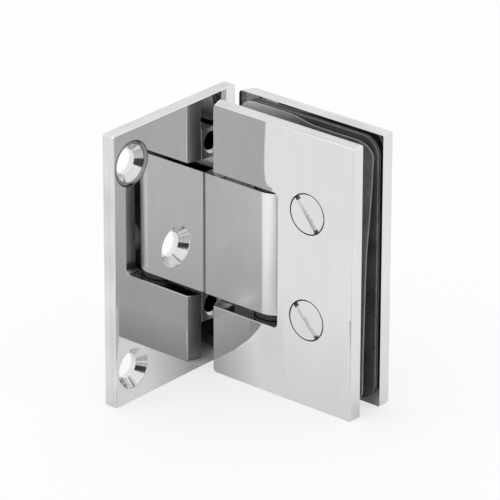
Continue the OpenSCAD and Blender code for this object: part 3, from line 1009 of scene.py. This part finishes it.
# the nook paper fades from dark at the corner where the plates meet: a painted contact shadow, seen only in
# reflections
nookShadowSet = {
    "shape": ((4.55, 11.35), (4.55, -28.6), (38.6, 11.35)), "heading": (0.707, -0.707),
    "tone": (0.3, 0.79), "fade": 18.0, "lift": 0.012,
}
# the lane is a pale glowing paper over floor that the object shades: painted light that lifts that shadow in
# reflections
laneLightSet = {
    "shape": ((37.6, 11.2), (66.0, 11.2), (-80.0, -177.0), (-119.0, -177.0)), "heading": (0, -1),
    "tone": (0.77, 0.93), "fade": 60.0, "lift": 0.008,
}


def floorPaper(name, look, corners, start, spec, ground):
    tone = greyMaterial(look, spec["tone"], (*start, 0), (*spec["heading"], 0), spec["fade"])
    greyPaper(name, [(*corner, ground + spec["lift"]) for corner in corners], tone)


def layPapers(ground):
    near, far = Vector(runnerSet["near"]), Vector(runnerSet["far"])
    reach = Vector(runnerSet["heading"]) * runnerSet["length"]
    floorPaper("greyRunner", "runnerPaper", (near, far, far + reach, near + reach), far, runnerSet, ground)
    floorPaper("nookPaper", "nookPaper", nookShadowSet["shape"], nookShadowSet["shape"][0], nookShadowSet, ground)
    floorPaper("lightLane", "lanePaper", laneLightSet["shape"], laneLightSet["shape"][0], laneLightSet, ground)


# cards that stand on the floor: between the plates, along each plate, and one far away to the right; the grey
# cards between and along the plates are painted shade at the plates' feet, seen only in reflections
cornerShadeSet = {
    "start": (38.6, 11.2), "end": (5.3, -28.7), "height": 15.0, "tone": (0.5, 0.52),
    "shape": ((0, 0), (1, 0), (1, 6), (0.7, 6), (0.7, 15), (0, 15)),    # part of the way, height
}
kerbShadeSet = {"ends": (10.2, 38.6), "height": 12.0, "tone": (0.27, 0.39)}
sillShadeSet = {"ends": (-23.5, 11.2), "height": 14.0, "tone": (0.31, 0.43)}
flagSet = {"middle": (188.186, -148.417), "turn": -37.0, "half": 34.0, "top": 105.0, "tone": 0.04}
cardGap = 0.05


def standCard(name, look, corners, spec, ground):
    tone = greyMaterial(look, spec["tone"], (0, 0, ground), (0, 0, 1), spec["height"], oneSided=True)
    greyPaper(name, corners, tone)


def standCards(ground):
    start, end = Vector(cornerShadeSet["start"]), Vector(cornerShadeSet["end"])
    corners = [(*start.lerp(end, part), ground + rise) for part, rise in cornerShadeSet["shape"]]
    standCard("cornerCard", "cornerPaper", corners, cornerShadeSet, ground)
    kerbY = boxOf("cover_plate")[0].y - cardGap
    corners = rectangle(1, kerbY, kerbShadeSet["ends"], (ground, ground + kerbShadeSet["height"]))
    standCard("kerbCard", "kerbPaper", corners, kerbShadeSet, ground)
    sillX = boxOf("wall_plate")[1].x + cardGap
    corners = rectangle(0, sillX, sillShadeSet["ends"], (ground, ground + sillShadeSet["height"]))
    standCard("sillCard", "sillPaper", corners, sillShadeSet, ground)
    heading = math.radians(flagSet["turn"])
    middle = Vector(flagSet["middle"])
    side = Vector((-math.sin(heading), math.cos(heading))) * flagSet["half"]
    left, right, top = middle - side, middle + side, flagSet["top"]
    greyPaper("farFlag", [(*left, ground), (*right, ground), (*right, top), (*left, top)],
              greyMaterial("flagPaper", flagSet["tone"]))


# glowing papers just in front of the wall plate, over the holes and along its lower and near edges: painted
# reflections that the other polished faces mirror in its place, darker towards the bottom
holeReflectionSet = {"size": 15.2, "tone": (0.26, 0.48), "fade": 35.0, "gap": 0.05}
edgeReflectionSet = {
    "shape": ((-28.8, -45.0), (-5.0, -45.0), (-12.0, -43.9), (-17.0, -41.8), (-20.2, -38.6), (-22.1, -34.5),
              (-22.9, -29.0), (-22.9, 4.6), (-20.6, 6.2), (-19.6, 8.5), (-19.1, 12.0), (-19.2, 20.0),
              (-20.0, 32.0), (-28.8, 32.0)),
    "tone": (0.81, 0.93), "fade": 14.0, "gap": 0.08,
}


def paintWallPlateReflections():
    low, high = boxOf("wall_plate")
    foot, up = (0, 0, low.z), (0, 0, 1)
    holeTone = greyMaterial("coverPaper", holeReflectionSet["tone"], foot, up, holeReflectionSet["fade"], oneSided=True)
    edgeTone = greyMaterial("stripPaper", edgeReflectionSet["tone"], foot, up, edgeReflectionSet["fade"], oneSided=True)
    half = holeReflectionSet["size"] / 2
    for i, (y, z) in enumerate(wallHoles(wallPlateSet)):
        greyPaper("holeCover%d" % i, rectangle(0, high.x + holeReflectionSet["gap"], (y - half, y + half),
                                               (z - half, z + half)), holeTone)
    greyPaper("edgeStrip", [(high.x + edgeReflectionSet["gap"], y, z) for y, z in edgeReflectionSet["shape"]], edgeTone)


ground = cadBox[0].z / mm - floorSet["drop"]
wide = floorSet["size"]
stagePlane("paleFloor", rectangle(2, ground, (-wide, wide), (-wide, wide)), floorMaterial(floorSet))
layPapers(ground)
standCards(ground)
paintWallPlateReflections()

# one faint round lamp above, in metres and watts
lampSet = {"spot": (-0.2, -0.3, 0.9), "aim": (0.03, 0, 0), "size": 0.6, "power": 0.8}
worldLight = 1.0


def makeLamp(spec):
    data = bpy.data.lights.new("topLamp", "AREA")
    data.shape = "DISK"
    data.size = spec["size"]
    data.energy = spec["power"]
    lamp = bpy.data.objects.new("topLamp", data)
    away = Vector(spec["spot"]) - Vector(spec["aim"])
    lamp.matrix_world = Matrix.Translation(spec["spot"]) @ away.to_track_quat("Z", "Y").to_matrix().to_4x4()
    bpy.context.scene.collection.objects.link(lamp)


makeLamp(lampSet)
world = bpy.data.worlds.new("softWorld")
world.use_nodes = True
world.node_tree.nodes["Background"].inputs["Color"].default_value = (1, 1, 1, 1)
world.node_tree.nodes["Background"].inputs["Strength"].default_value = worldLight
bpy.context.scene.world = world
print("stage lit")
